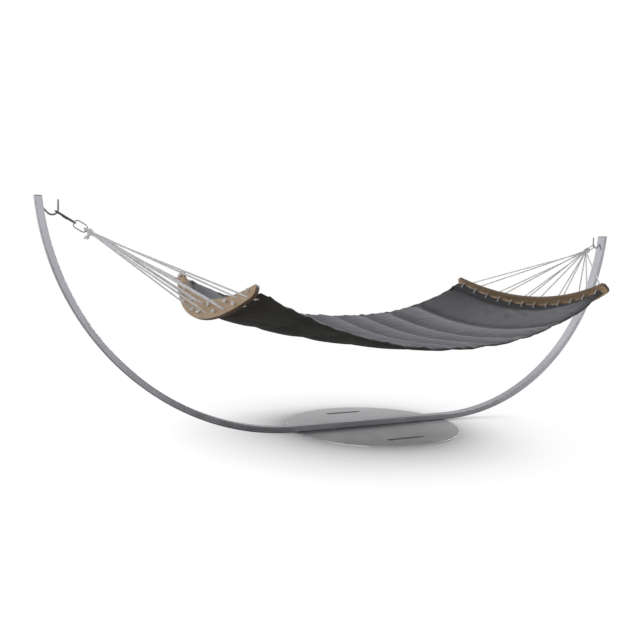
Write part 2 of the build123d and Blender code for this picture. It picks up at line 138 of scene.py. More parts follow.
def steel(name, light, dark, roughness, grain, depth, points=None):
    """Metal with a drawn grain: grain is its scale along X, Y and Z."""
    material, tree, shader = new_finish(name, light, metallic=1.0, roughness=roughness)
    points = points(tree) if points else object_points(tree)
    stretched = put(tree, "Mapping", {"Scale": grain})
    wire(tree, points, stretched, "Vector")
    lines = speckle(tree, stretched.outputs["Vector"], scale=1.0, detail=4.0, rough=0.6)
    clouds = speckle(tree, points, scale=9.0, detail=4.0)
    wear = reckon(tree, "MULTIPLY_ADD", lines, grain_share, clouds)
    wire(tree, tint(tree, span(tree, wear, 0, 1, *wear_range), dark, light), shader, "Base Color")
    gloss = span(tree, wear, roughness - polish_gain, roughness + wear_gain, *wear_range)
    wire(tree, gloss, shader, "Roughness")
    relief(tree, shader, lines, strength=0.25, depth=depth)
    return material


def dress(material, *names):
    """Give CAD nodes a finish in place of their packed one."""
    for name in names:
        cad[name].data.materials.clear()
        cad[name].data.materials.append(material)


def weigh(tree, shader, factor):
    """Multiply a finish's colour by a factor that changes from place to place."""
    scaled = put(tree, "VectorMath", operation="SCALE")
    wire(tree, shader.inputs["Base Color"].links[0].from_socket, scaled, 0)
    wire(tree, factor, scaled, "Scale")
    wire(tree, scaled.outputs["Vector"], shader, "Base Color")


def painted_rim_highlight(material):
    """Painted highlight: metal made brighter past a radius, on the disc's edge, for the bright floor it
    reflects.
    """
    tree = material.node_tree
    reach = put(tree, "VectorMath", operation="LENGTH")
    wire(tree, object_points(tree, scale=(1, 1, 0)), reach, 0)
    brighter = span(tree, reach.outputs["Value"], 1, rim_highlight_gain, rim_start, rim_full)
    weigh(tree, tree.nodes["Principled BSDF"], brighter)


plate_steel = steel("plate_steel", plate_grey, plate_dark, roughness=0.42, grain=(14, 500, 500), depth=0.0002)
painted_rim_highlight(plate_steel)
dress(plate_steel, "base_plate")


# Rail and arms: rectangular tube of brushed stainless steel, the arms rolled to one radius.
# Inside spigots hold the arms on the rail, with two bolts in each arm from below.
rail_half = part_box("centre_rail")[1].x
tube_level = (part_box("centre_rail")[0].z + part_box("centre_rail")[1].z) / 2
bend_radius = 1.205
tube_light = (0.56, 0.564, 0.605)
tube_dark = (0.44, 0.442, 0.475)
tube_finish = {"roughness": 0.34, "grain": (9, 900, 900), "depth": 0.0002}
# Painted shade: the steel is darkened towards the floor, for the shade under the bed and the dark ground it
# mirrors.
painted_shade_top = 0.42
painted_shade_share = 0.64


def bend_points(tree):
    """Points along, across and through a bent arm: arc length, Y and radius."""
    points = put(tree, "TexCoord")
    parts = put(tree, "SeparateXYZ")
    wire(tree, points.outputs["Object"], parts, "Vector")
    reach = reckon(tree, "ABSOLUTE", parts.outputs["X"])
    past = reckon(tree, "SUBTRACT", reach, rail_half)
    below = reckon(tree, "SUBTRACT", tube_level + bend_radius, parts.outputs["Z"])
    arc = reckon(tree, "MULTIPLY", reckon(tree, "ARCTAN2", past, below), bend_radius)
    flat = put(tree, "CombineXYZ")
    wire(tree, past, flat, "X")
    wire(tree, below, flat, "Y")
    radius = put(tree, "VectorMath", operation="LENGTH")
    wire(tree, flat.outputs["Vector"], radius, 0)
    joined = put(tree, "CombineXYZ")
    wire(tree, arc, joined, "X")
    wire(tree, parts.outputs["Y"], joined, "Y")
    wire(tree, radius.outputs["Value"], joined, "Z")
    return joined.outputs["Vector"]


rail_steel = steel("rail_steel", tube_light, tube_dark, **tube_finish)
arm_steel = steel("arm_steel", tube_light, tube_dark, **tube_finish, points=bend_points)
# Painted shade: rail and arms darken from a height down to the rail's middle, and evenly below it.
for material in (rail_steel, arm_steel):
    tree = material.node_tree
    height = put(tree, "SeparateXYZ")
    wire(tree, object_points(tree), height, "Vector")
    painted_shade = span(tree, height.outputs["Z"], painted_shade_share, 1, tube_level, painted_shade_top)
    weigh(tree, tree.nodes["Principled BSDF"], painted_shade)
dress(rail_steel, "centre_rail")
dress(arm_steel, "left_arm", "right_arm", "left_spigot", "right_spigot")


# Fasteners: countersunk screws under the plate, nuts welded in the rail and button-head arm bolts.
# All are turned stainless steel, with fine rings left by the tool.
fastener_light = (0.46, 0.46, 0.47)
fastener_dark = (0.3, 0.3, 0.31)
fastener_steel = steel("fastener_steel", fastener_light, fastener_dark,
                       roughness=0.3, grain=(900, 900, 120), depth=0.0001)
dress(fastener_steel, "plate_screws", "weld_nuts", "arm_bolts")


# End caps: moulded black polythene plugs, pushed into the open ends of the arms.
# The skin is finely grained and slightly greyed by the weather.
cap_black = (0.022, 0.022, 0.023)
cap_greyed = (0.05, 0.05, 0.052)


def moulded(name, colour, worn):
    """Grained plastic with a pale bloom."""
    material, tree, shader = new_finish(name, colour, metallic=0.0, roughness=0.55)
    points = object_points(tree)
    grains = speckle(tree, points, scale=2600, detail=2.0)
    bloom = speckle(tree, points, scale=60, detail=4.0)
    wire(tree, tint(tree, span(tree, bloom, 0, 1), colour, worn), shader, "Base Color")
    wire(tree, span(tree, bloom, low=0.45, high=0.65), shader, "Roughness")
    relief(tree, shader, grains, strength=0.3, depth=0.0002)
    return material


dress(moulded("cap_plastic", cap_black, cap_greyed), "left_end_cap", "right_end_cap")


# Hooks, quick link and oval rings: bent from stainless round rod, dulled by the weather.
# The hooks are welded into the arms, and the link's threaded sleeve closes its gap.
# The rings are painted lighter, a painted highlight on their lit side; the quick link darker, as painted
# shade where it is seen edge-on.
rod_light = (0.3, 0.3, 0.31)
rod_dark = (0.14, 0.14, 0.145)
# Painted shade: the quick link's steel is darker, as it is seen edge-on and in shade.
link_shaded_light = (0.17, 0.165, 0.165)
link_shaded_dark = (0.07, 0.068, 0.068)
# Painted highlight: the rings' steel is lighter than the rod's.
ring_highlit_light = (0.44, 0.43, 0.43)
ring_highlit_dark = (0.26, 0.255, 0.255)
rod_grain = (260, 260, 260)
link_grain = (320, 320, 320)
rod_steel = steel("rod_steel", rod_light, rod_dark, roughness=0.3, grain=rod_grain, depth=0.0001)
link_steel = steel("link_steel", link_shaded_light, link_shaded_dark, roughness=0.33, grain=link_grain, depth=0.0001)
ring_steel = steel("ring_steel", ring_highlit_light, ring_highlit_dark, roughness=0.3, grain=link_grain, depth=0.0001)
dress(rod_steel, "left_hook", "right_hook")
dress(link_steel, "quick_link", "quick_link_sleeve")
dress(ring_steel, "left_ring", "right_ring")


# Spreader boards: crescents sawn from 18 mm birch plywood, edges rounded, oiled to a warm tan.
# Two rows of drilled holes take the ropes; the sawn edge shows the plies.
left, right = -1, 1
sides = ((left, "left"), (right, "right"))
board_thickness = 0.018
board_half_length = 0.606
board_end_height = 0.057
board_middle_height = 0.101
board_middle_sag = 0.145
board_radius = (board_half_length**2 + board_middle_sag**2) / (2 * board_middle_sag)
board_place = {left: Vector((-0.921, 0, 0.769)), right: Vector((1.033, 0, 0.794))}
board_tilt = {left: math.radians(23.8), right: math.radians(31)}
board_roll = {left: math.radians(2.0), right: 0.0}
board_yaw = {left: math.radians(-2.0), right: 0.0}
row_share = 0.2
rope_count = 12
rope_pitch = 0.1
ply_thickness = 0.0026
wood_pale = (0.57, 0.415, 0.262)
wood_deep = (0.42, 0.275, 0.155)
ply_dark = (0.05, 0.027, 0.015)
ply_brown = (0.13, 0.072, 0.038)
figure_scale = (60, 5, 60)
figure_range = (0.35, 0.68)
pore_scale = (900, 45, 900)
ply_range = (0.25 * ply_thickness, 0.75 * ply_thickness)
face_range = (0.6, 0.85)


def turned(way, roll, yaw):
    """Direction after a roll about X and then a yaw about Z."""
    return Matrix.Rotation(yaw, 3, "Z") @ Matrix.Rotation(roll, 3, "X") @ Vector(way)


def board_out(side):
    """Direction out of a board's outer face, towards the hook."""
    tilt = board_tilt[side]
    return turned((side * math.cos(tilt), 0, math.sin(tilt)), board_roll[side], board_yaw[side])


def board_up(side):
    """Direction along a board's face, upwards."""
    tilt = board_tilt[side]
    return turned((-side * math.sin(tilt), 0, math.cos(tilt)), board_roll[side], board_yaw[side])


def board_across(side):
    """Direction along a board's length, to the far side."""
    return turned((0, 1, 0), board_roll[side], board_yaw[side])


def station_hole(side, index, row, depth):
    """Point on a rope hole's axis, at a depth from the outer face: row is 1 above, -1 below, 0 between."""
    across = (index - (rope_count - 1) / 2) * rope_pitch
    share = across / board_half_length
    height = board_middle_height - (board_middle_height - board_end_height) * share**2
    radius = board_radius - row_share * height * row
    turn = math.asin(across / board_radius)
    level = board_radius - board_middle_sag - radius * math.cos(turn)
    reach = radius * math.sin(turn)
    return board_place[side] + board_across(side) * reach + board_up(side) * level - board_out(side) * depth


def plywood(name, side):
    """Pale figured faces, with the plies showing where the surface turns away from the face."""
    material, tree, shader = new_finish(name, wood_pale, metallic=0.0, roughness=0.5)
    tilt = side * (math.pi / 2 - board_tilt[side])
    points = object_points(tree, turn=(0, -tilt, 0))
    long_grain = put(tree, "Mapping", {"Scale": figure_scale})
    wire(tree, points, long_grain, "Vector")
    figure = put(tree, "TexNoise", {"Scale": 1.0, "Detail": 6.0, "Roughness": 0.6, "Distortion": 0.9})
    wire(tree, long_grain.outputs["Vector"], figure, "Vector")
    fine_grain = put(tree, "Mapping", {"Scale": pore_scale})
    wire(tree, points, fine_grain, "Vector")
    pores = speckle(tree, fine_grain.outputs["Vector"], scale=1.0, detail=3.0)
    face_colour = tint(tree, span(tree, figure.outputs["Fac"], 0, 1, *figure_range), wood_deep, wood_pale)
    parts = put(tree, "SeparateXYZ")
    wire(tree, points, parts, "Vector")
    plies = reckon(tree, "PINGPONG", parts.outputs["Z"], ply_thickness)
    edge_colour = tint(tree, span(tree, plies, 0, 1, *ply_range), ply_dark, ply_brown)
    normals = put(tree, "TexCoord")
    facing = put(tree, "VectorMath", operation="DOT_PRODUCT")
    facing.inputs[1].default_value = board_out(side)
    wire(tree, normals.outputs["Normal"], facing, 0)
    flatness = reckon(tree, "ABSOLUTE", facing.outputs["Value"])
    colour = tint(tree, span(tree, flatness, 0, 1, *face_range), edge_colour, face_colour)
    wire(tree, colour, shader, "Base Color")
    wire(tree, span(tree, pores, low=0.42, high=0.6), shader, "Roughness")
    relief(tree, shader, pores, strength=0.25, depth=0.0004)
    return material


for side, name in sides:
    dress(plywood(f"{name}_plywood", side), f"{name}_board")


# Ropes: three-strand twisted polyester cord, 6 mm, from the tied bundle at the ring to the board.
# Each goes through the board, an eyelet of the bed and back to a stop knot on the outer face.
# Its strands are drawn fuller than the nominal width, because the photo shows them so.
rope_diameter = 0.006
rope_fullness = 1.4
rope_lay = 0.02
strand_sides = 6
ring_step = 0.0016
pull_angle = math.radians(30)
hook_seat = Vector((1.6012, 0, 1.0365))
chain_length = {left: 0.13965, right: 0.05495}
knot_start = 0.004
knot_length = 0.022
rope_spread = 0.0066
rope_row_gap = 0.0064
rope_lead = 0.009
board_lead = 0.005
back_lead = 0.004
loop_flat = 0.010
hem_gap = 0.018
eyelet_inset = 0.011
eyelet_slack = 0.0009
stop_knot = 0.015
straight_end = 6 * rope_diameter
rope_white = (0.9, 0.9, 0.925)
rope_shade = (0.72, 0.72, 0.74)
fibre_scale = (350, 14, 1)
fibre_share = 0.5
soil_range = (0.5, 0.85)


def pull(side):
    """Direction of the pull on a hook, inwards and down."""
    return Vector((-side * math.cos(pull_angle), 0, -math.sin(pull_angle)))


def knot_point(side, distance, across=0.0, up=0.0):
    """Point at a distance past the ring's end, across along Y and up square to the pull."""
    seat = Vector((side * hook_seat.x, 0, hook_seat.z))
    upward = Vector((-side * math.sin(pull_angle), 0, math.cos(pull_angle)))
    return seat + pull(side) * (chain_length[side] + distance) + Vector((0, across, 0)) + upward * up


def rope_route(side, index):
    """Points of one rope, as the part's own rope, with one more near each end of its straight stretch."""
    centre = (rope_count - 1) / 2
    rank = int(abs(index - centre))
    row = 1 if rank % 2 == 0 else -1
    across = math.copysign((rank // 2 + 0.5) * rope_spread, index - centre)
    start = knot_point(side, knot_start + knot_length, across, row * rope_row_gap / 2)
    lead = start + pull(side) * rope_lead
    mouth = station_hole(side, index, row, 0) + board_out(side) * board_lead
    run = (mouth - lead).normalized()
    up = (station_hole(side, index, 1, 0) - station_hole(side, index, -1, 0)).normalized() * row
    eyelet = station_hole(side, index, 0, board_thickness + hem_gap + eyelet_inset - eyelet_slack)
    back = board_thickness + back_lead
    return [
        start,
        lead,
        lead + run * straight_end,
        mouth - run * straight_end,
        mouth,
        station_hole(side, index, row, back),
        eyelet + up * loop_flat / 2,
        eyelet - up * loop_flat / 2,
        station_hole(side, index, -row, back),
        station_hole(side, index, -row, 0) + board_out(side) * stop_knot / 2,
    ]


def spline_points(route, spacing):
    """Points along the smooth NURBS line of a route, about one spacing apart."""
    line = bpy.data.curves.new("route", "CURVE")
    line.dimensions = "3D"
    spline = line.splines.new("NURBS")
    spline.points.add(len(route) - 1)
    for point, place in zip(spline.points, route):
        point.co = (*place, 1)
    spline.order_u = 3
    spline.use_endpoint_u = True
    spline.resolution_u = 240
    holder = bpy.data.objects.new("route", line)
    bpy.context.scene.collection.objects.link(holder)
    depsgraph = bpy.context.evaluated_depsgraph_get()
    mesh = bpy.data.meshes.new_from_object(holder.evaluated_get(depsgraph))
    dense = [v.co.copy() for v in mesh.vertices]
    bpy.data.objects.remove(holder)
    bpy.data.meshes.remove(mesh)
    kept = [dense[0]]
    for point in dense:
        if (point - kept[-1]).length >= spacing:
            kept.append(point)
    return kept


def turning_frames(points):
    """Two side directions at each point, carried along without twisting."""
    frames = []
    side_way = None
    for i in range(len(points)):
        ahead = points[min(i + 1, len(points) - 1)] - points[max(i - 1, 0)]
        tangent = ahead.normalized()
        if side_way is None:
            side_way = tangent.orthogonal().normalized()
        side_way = (side_way - tangent * side_way.dot(tangent)).normalized()
        frames.append((side_way, tangent.cross(side_way)))
    return frames


def tube(build, points, radius, sides_round, uv_layer, offset=0.0, lay=1.0, phase=0.0):
    """Add a closed tube along points to a bmesh. With an offset it winds round them as a strand."""
    centres = []
    lengths = []
    travelled = 0.0
    for i, (side_way, other_way) in enumerate(turning_frames(points)):
        if i:
            travelled += (points[i] - points[i - 1]).length
        turn = phase + 2 * math.pi * travelled / lay
        centres.append(points[i] + (side_way * math.cos(turn) + other_way * math.sin(turn)) * offset)
        lengths.append(travelled)
    rings = []
    for centre, (side_way, other_way) in zip(centres, turning_frames(centres)):
        ring = []
        for k in range(sides_round):
            turn = 2 * math.pi * k / sides_round
            outward = side_way * math.cos(turn) + other_way * math.sin(turn)
            ring.append(build.verts.new(centre + outward * radius))
        rings.append(ring)
    for i in range(len(rings) - 1):
        for k in range(sides_round):
            k2 = (k + 1) % sides_round
            face = build.faces.new((rings[i][k], rings[i][k2], rings[i + 1][k2], rings[i + 1][k]))
            face.smooth = True
            around = ((k, i), (k + 1, i), (k + 1, i + 1), (k, i + 1))
            for loop, (step, row) in zip(face.loops, around):
                loop[uv_layer].uv = (lengths[row], step / sides_round)
    build.faces.new(rings[0][::-1])
    build.faces.new(rings[-1])


def twist(build, points, diameter, uv_layer, lay=rope_lay):
    """Three strands laid round each other along points, touching inside the diameter."""
    radius = diameter / 2 / (1 + 2 / math.sqrt(3))
    offset = diameter / 2 - radius
    for strand in range(3):
        tube(build, points, radius, strand_sides, uv_layer, offset, lay, strand * 2 * math.pi / 3)


def piece_from(build, name, *materials):
    """Turn a bmesh into a finished piece."""
    bmesh.ops.recalc_face_normals(build, faces=build.faces)
    mesh = bpy.data.meshes.new(name)
    build.to_mesh(mesh)
    build.free()
    piece = bpy.data.objects.new(name, mesh)
    bpy.context.scene.collection.objects.link(piece)
    for material in materials:
        mesh.materials.append(material)
    return piece


def cordage(name, light, shade):
    """Twisted fibre: fine threads along each strand, greyed here and there by handling."""
    material, tree, shader = new_finish(name, light, metallic=0.0, roughness=0.8)
    shader.inputs["Sheen Weight"].default_value = 0.25
    lengthwise = put(tree, "TexCoord")
    threads = put(tree, "Mapping", {"Scale": fibre_scale})
    wire(tree, lengthwise.outputs["UV"], threads, "Vector")
    fibres = speckle(tree, threads.outputs["Vector"], scale=1.0, detail=3.0)
    soil = speckle(tree, object_points(tree), scale=28, detail=5.0)
    mixed = reckon(tree, "MULTIPLY_ADD", fibres, fibre_share, soil)
    wire(tree, tint(tree, span(tree, mixed, 0, 1, *soil_range), shade, light), shader, "Base Color")
    wire(tree, span(tree, fibres, low=0.7, high=0.9), shader, "Roughness")
    relief(tree, shader, fibres, strength=0.5, depth=0.0006)
    return material


rope_fibre = cordage("rope_fibre", rope_white, rope_shade)
for side, name in sides:
    for index in range(rope_count):
        line = spline_points(rope_route(side, index), ring_step)
        build = bmesh.new()
        twist(build, line, rope_diameter * rope_fullness, build.loops.layers.uv.new("lay"))
        rope = piece_from(build, f"{name}_cord_{index + 1}", rope_fibre)
        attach(rope, "hammock")
        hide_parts(f"{name}_rope_{index + 1}")


# Stop knots: each rope's end is tied in an overhand knot against the board's outer face.
# A short frayed end stands out of the knot.
knot_steps = 64
knot_closed = 0.94
knot_cord = 0.0064
knot_sides = 7
knot_swell = 0.00264
knot_lobe = 0.75
knot_depth = 0.0036
knot_twist = 2.1
end_length = 0.014
end_radius = 0.00288
end_steps = 6
end_droop = 0.0012
end_lean = (0.7, 0.3)


def overhand(build, uv_layer, place, out, turn):
    """An overhand knot lying on a face, with its cut end."""
    first = Matrix.Rotation(turn, 3, out) @ out.orthogonal().normalized()
    second = out.cross(first)
    loop = []
    for step in range(knot_steps + 1):
        angle = 2 * math.pi * step / knot_steps * knot_closed
        reach = knot_swell * (2 + knot_lobe * math.cos(3 * angle))
        height = knot_depth * math.sin(3 * angle)
        around = first * math.cos(2 * angle) + second * math.sin(2 * angle)
        loop.append(place + around * reach + out * height)
    tube(build, loop, knot_cord / 2, knot_sides, uv_layer)
    lean = (out + first * end_lean[0] + second * end_lean[1]).normalized()
    tail = []
    for step in range(end_steps + 1):
        share = step / end_steps
        tail.append(place + lean * end_length * share - Vector((0, 0, end_droop * share**2)))
    tube(build, tail, end_radius, knot_sides, uv_layer)


for side, name in sides:
    build = bmesh.new()
    uv_layer = build.loops.layers.uv.new("lay")
    for index in range(rope_count):
        rank = int(abs(index - (rope_count - 1) / 2))
        row = -1 if rank % 2 == 0 else 1
        place = station_hole(side, index, row, 0) + board_out(side) * stop_knot / 2
        overhand(build, uv_layer, place, board_out(side), index * knot_twist)
    knots = piece_from(build, f"{name}_stop_knots", rope_fibre)
    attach(knots, "hammock")


# Clews: where the ropes come together, they are looped through the ring as one bundle and bound
# with turns of the same cord. A loose end with a knot hangs from the left one.
bundle_cords = 7
bundle_pitch = 0.0046
bundle_radius = 0.007
ring_radius = 0.00275
ring_clearance = 0.0003
loop_radius = ring_radius + ring_clearance + bundle_radius
leg_steps = 8
bend_steps = 16
binding_turns = 5
binding_steps = 28
binding_cord = 0.0042
binding_lay = 0.014
binding_taper = 0.16
binding_slack = 0.02
slack_phase = 6.2
knot_width = 0.041
knot_height = 0.032
core_rings = 12
core_sides = 28
core_inset = 0.8 * binding_cord
core_power = 8
core_end = 0.04
tail_length = 0.019
tail_thickness = 0.0125
tail_lean = Vector((-0.55, 0, -0.83))
tail_steps = 12
tail_knot_turn = 0.6


def bundle_path(side, sideways, outward):
    """Line of one cord of the bundle: out along the pull, round the ring's end and back."""
    flat = Vector((0, 1, 0))
    upward = Vector((-side * math.sin(pull_angle), 0, math.cos(pull_angle)))
    across = flat if side == left else upward
    square = upward if side == left else flat
    tip = knot_point(side, 0)
    reach = loop_radius + outward
    leg = knot_start + 0.5 * knot_length
    line = [tip + pull(side) * leg * (1 - step / leg_steps) + across * reach + square * sideways
            for step in range(leg_steps)]
    for step in range(bend_steps + 1):
        turn = math.pi * step / bend_steps
        around = across * math.cos(turn) - pull(side) * math.sin(turn)
        line.append(tip + around * reach + square * sideways)
    line += [tip + pull(side) * leg * step / leg_steps - across * reach + square * sideways
             for step in range(1, leg_steps + 1)]
    return line


def binding_path(side):
    """Turns of cord round the bundle, with a little slack in each."""
    line = []
    steps = binding_turns * binding_steps
    for step in range(steps + 1):
        turn = 2 * math.pi * step / binding_steps
        share = step / steps
        slack = binding_slack * math.sin(slack_phase * step / binding_steps)
        girth = 1 - binding_taper * (2 * share - 1) ** 2 + slack
        distance = knot_start + binding_cord / 2 + share * (knot_length - binding_cord)
        across = (knot_width - binding_cord) / 2 * girth * math.cos(turn)
        up = (knot_height - binding_cord) / 2 * girth * math.sin(turn)
        line.append(knot_point(side, distance, across, up))
    return line


for side, name in sides:
    build = bmesh.new()
    uv_layer = build.loops.layers.uv.new("lay")
    twist(build, bundle_path(side, 0, 0), bundle_pitch, uv_layer)
    for cord in range(bundle_cords - 1):
        turn = 2 * math.pi * cord / (bundle_cords - 1)
        line = bundle_path(side, bundle_pitch * math.cos(turn), bundle_pitch * math.sin(turn))
        twist(build, line, bundle_pitch, uv_layer)
    twist(build, binding_path(side), binding_cord, uv_layer, binding_lay)
    rings = []
    for ring in range(core_rings + 1):
        share = ring / core_rings
        dome = math.sqrt(max(1 - (2 * share - 1) ** core_power, core_end))
        row = []
        for k in range(core_sides):
            turn = 2 * math.pi * k / core_sides
            across = (knot_width / 2 - core_inset) * dome * math.cos(turn)
            up = (knot_height / 2 - core_inset) * dome * math.sin(turn)
            row.append(build.verts.new(knot_point(side, knot_start + knot_length * share, across, up)))
        rings.append(row)
    for near, far in zip(rings, rings[1:]):
        for k in range(core_sides):
            k2 = (k + 1) % core_sides
            build.faces.new((near[k], near[k2], far[k2], far[k])).smooth = True
    build.faces.new(rings[0][::-1])
    build.faces.new(rings[-1])
    if side == left:
        tail_top = knot_point(side, knot_start + knot_length / 3)
        tail_top.z -= knot_height / 2 - rope_diameter
        tail = [tail_top + tail_lean * tail_length * step / tail_steps for step in range(tail_steps + 1)]
        twist(build, tail, tail_thickness, uv_layer)
        overhand(build, uv_layer, tail[-1], tail_lean, tail_knot_turn)
    clew = piece_from(build, f"{name}_rope_bundle", rope_fibre)
    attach(clew, "hammock")
    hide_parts(f"{name}_clew")


# Quilted bed: grey woven polyester above, charcoal below, filled and sewn across into channels.
# Each channel puffs between its seams, which draw the long edges in and pucker the cloth.
bed_low = 0.475
left_power = 2.0
right_power = 2.7
middle_roll = math.radians(1.6)
hem_length = 0.036
hem_thickness = 0.004
hem_half_width = 0.600
middle_half_width = 0.620
middle_depth = 0.043
seam_shares = (0.0, 0.1, 0.205, 0.305, 0.405, 0.505, 0.605, 0.705, 0.82, 1.0)
channel_count = len(seam_shares) - 1
crown = {1: 0.016, -1: 0.009}
edge_round = {1: 8, -1: 1.5}
seam_thickness = 0.003
channel_rows = 18
bed_columns = 132
edge_columns = 2
near_binding = 0.002
far_binding = 0.030
# Painted shade: the far dark edge widens by this towards the left hem.
far_painted_shade = 0.04
edge_draw = 0.003
edge_cusp = 0.006
cusp_reach = 0.018
edge_ripple = 0.003
edge_crumple = 0.0045
edge_start = 0.84
edge_crowding = 0.45
ripple_rate = 24
crumple_rates = (30, 44)
puff_power = 0.9
pucker_depth = 0.0022
pucker_reach = 0.035
pucker_start = 0.006
pucker_rate = 34
uneven_depth = 0.0022
uneven_rates = (4.5, 9)
fold_fade = 0.7
swell_frames = 20
swell_pressure = 4.0
swell_limit = 0.006
cloth_ease = 0.012
cloth_grey = (0.12, 0.123, 0.136)
cloth_worn = (0.148, 0.151, 0.164)
cloth_charcoal = (0.0275, 0.0262, 0.0224)
cloth_dust = (0.046, 0.043, 0.0345)
cloth_thread = 0.0012
cloth_length = 2.0
cloth_width = 1.22
slub_share = 0.4
fading_range = (0.5, 0.9)
wave_band = 2 * math.pi / 20
# Painted shade on the last channel before the right hem: where it starts along the cloth, and how dark.
end_panel = (1.77, 1.79)
end_shade = 0.66
hem_depth = board_radius - math.sqrt(board_radius**2 - hem_half_width**2)


def hem_middle(side, distance):
    """Middle of a hem, at a distance from its edge."""
    depth = board_thickness + hem_gap + distance
    return board_place[side] - board_up(side) * board_middle_sag - board_out(side) * depth


left_seam = hem_middle(left, hem_length)
right_seam = hem_middle(right, hem_length)
left_root = math.sqrt(left_seam.z - bed_low)
right_root = math.sqrt(right_seam.z - bed_low)
bed_length = right_seam.x - left_seam.x
low_x = (left_seam.x * right_root + right_seam.x * left_root) / (left_root + right_root)


def trough_level(x):
    """Height of the bed's middle line, which rises to a hem on each side of its lowest point."""
    if x < low_x:
        return bed_low + (left_seam.z - bed_low) * ((x - low_x) / (left_seam.x - low_x)) ** left_power
    return bed_low + (right_seam.z - bed_low) * ((x - low_x) / (right_seam.x - low_x)) ** right_power


def bed_section(along):
    """Middle point, directions up and across, half width and depth at a share of the bed's length."""
    x = left_seam.x + bed_length * along
    middle = Vector((x, left_seam.y * (1 - along), trough_level(x)))
    tilt = board_tilt[left] - (board_tilt[left] + board_tilt[right]) * along
    roll = board_roll[left] * (1 - along) + middle_roll * 4 * along * (1 - along)
    yaw = board_yaw[left] * (1 - along)
    out = (2 * along - 1) ** 2
    half = middle_half_width + (hem_half_width - middle_half_width) * out
    depth = middle_depth + (hem_depth - middle_depth) * out
    upward = turned((math.sin(tilt), 0, math.cos(tilt)), roll, yaw)
    return middle, upward, turned((0, 1, 0), roll, yaw), half, depth


def arch_point(middle, upward, flat, half, depth, across):
    """Point on a section's arc, and the direction square to the arc, at across from -1 to 1."""
    radius = (half**2 + depth**2) / (2 * depth)
    turn = across * math.asin(half / radius)
    point = middle + flat * radius * math.sin(turn) + upward * radius * (1 - math.cos(turn))
    return point, upward * math.cos(turn) - flat * math.sin(turn)


def crease(point, start, end, width, height):
    """Height of a soft fold along a line on the cloth, fading at its ends."""
    line = end - start
    share = (point - start).dot(line) / line.length_squared
    if share < 0 or share > 1:
        return 0.0
    gap = (point - start - line * share).length
    return height * math.sin(math.pi * share) ** fold_fade * math.exp(-((gap / width) ** 2))


corner_hang = {(left, False): 0.004, (left, True): 0.014, (right, False): 0.018, (right, True): 0.01}
hang_start = 0.93
hang_spread = 0.3
spread_reach = 0.12
hang_reach = 0.2
pull_folds = (
    (Vector((0.90, -0.20)), Vector((1.02, -0.02)), 0.013, 0.011),
    (Vector((0.86, -0.10)), Vector((1.01, 0.10)), 0.014, 0.011),
    (Vector((0.88, 0.12)), Vector((1.02, 0.26)), 0.013, 0.008),
    (Vector((0.87, -0.42)), Vector((1.01, -0.30)), 0.013, 0.008),
    (Vector((-0.88, -0.30)), Vector((-0.62, -0.46)), 0.022, 0.006),
    (Vector((-0.87, -0.05)), Vector((-0.66, -0.24)), 0.020, 0.005),
    (Vector((-0.88, 0.20)), Vector((-0.70, 0.36)), 0.020, 0.005),
    (Vector((-0.45, -0.36)), Vector((-0.30, -0.55)), 0.020, 0.005),
)


def eased(share):
    """Smooth rise from 0 to 1."""
    return share**2 * (3 - 2 * share)


def corner_drop(side, distance, across):
    """How far the free edge hangs below the arc near a hem, past the last eyelet."""
    start = hang_start - hang_spread * min(distance / spread_reach, 1)
    share = max(abs(across) - start, 0) / (1 - start)
    return corner_hang[side, across > 0] * eased(share) * math.exp(-((distance / hang_reach) ** 2))


def bed_point(row, across, face):
    """Point of the bed's upper (face 1) or lower (face -1) cloth."""
    channel = min(row // channel_rows, channel_count - 1)
    share = row / channel_rows - channel
    width = seam_shares[channel + 1] - seam_shares[channel]
    along = seam_shares[channel] + width * share
    middle, upward, flat, half, depth = bed_section(along)
    puff = (4 * share * (1 - share)) ** puff_power
    scalloped = half - edge_draw * (1 - puff)
    base, normal = arch_point(middle, upward, flat, scalloped, depth, across)
    rounding = math.sqrt(max(1 - abs(across) ** edge_round[face], 0))
    thick = seam_thickness / 2 + crown[face] * puff * rounding
    seam_gap = min(share, 1 - share) * bed_length * width
    near = math.exp(-((seam_gap / pucker_reach) ** 2)) * min(seam_gap / pucker_start, 1)
    # The odd multiples keep the noise of channels, faces and edges apart.
    ripple = noise.noise(Vector((base.y * pucker_rate, channel * 3.7 + (share > 0.5) * 1.9, face * 5.1)))
    slow = noise.noise(Vector((base.x * uneven_rates[0], base.y * uneven_rates[1], face * 2.3 + 8)))
    rough = noise.noise(Vector((base.x * crumple_rates[0], base.y * crumple_rates[1], 7.7)))
    wave = noise.noise(Vector((base.x * ripple_rate, across, 3.3)))
    fold = sum(crease(Vector((base.x, base.y)), *line) for line in pull_folds)
    free = max(abs(across) - edge_start, 0) / (1 - edge_start)
    swollen = thick + pucker_depth * near * ripple + uneven_depth * slow * puff * rounding
    lift = face * swollen + edge_crumple * rough * free
    drop = corner_drop(left, bed_length * along, across)
    drop += corner_drop(right, bed_length * (1 - along), across)
    cusp = edge_cusp * math.exp(-((seam_gap / cusp_reach) ** 2))
    drop += (edge_ripple * wave - cusp) * eased(free)
    return base + normal * (lift + fold * puff) - Vector((0, 0, drop))


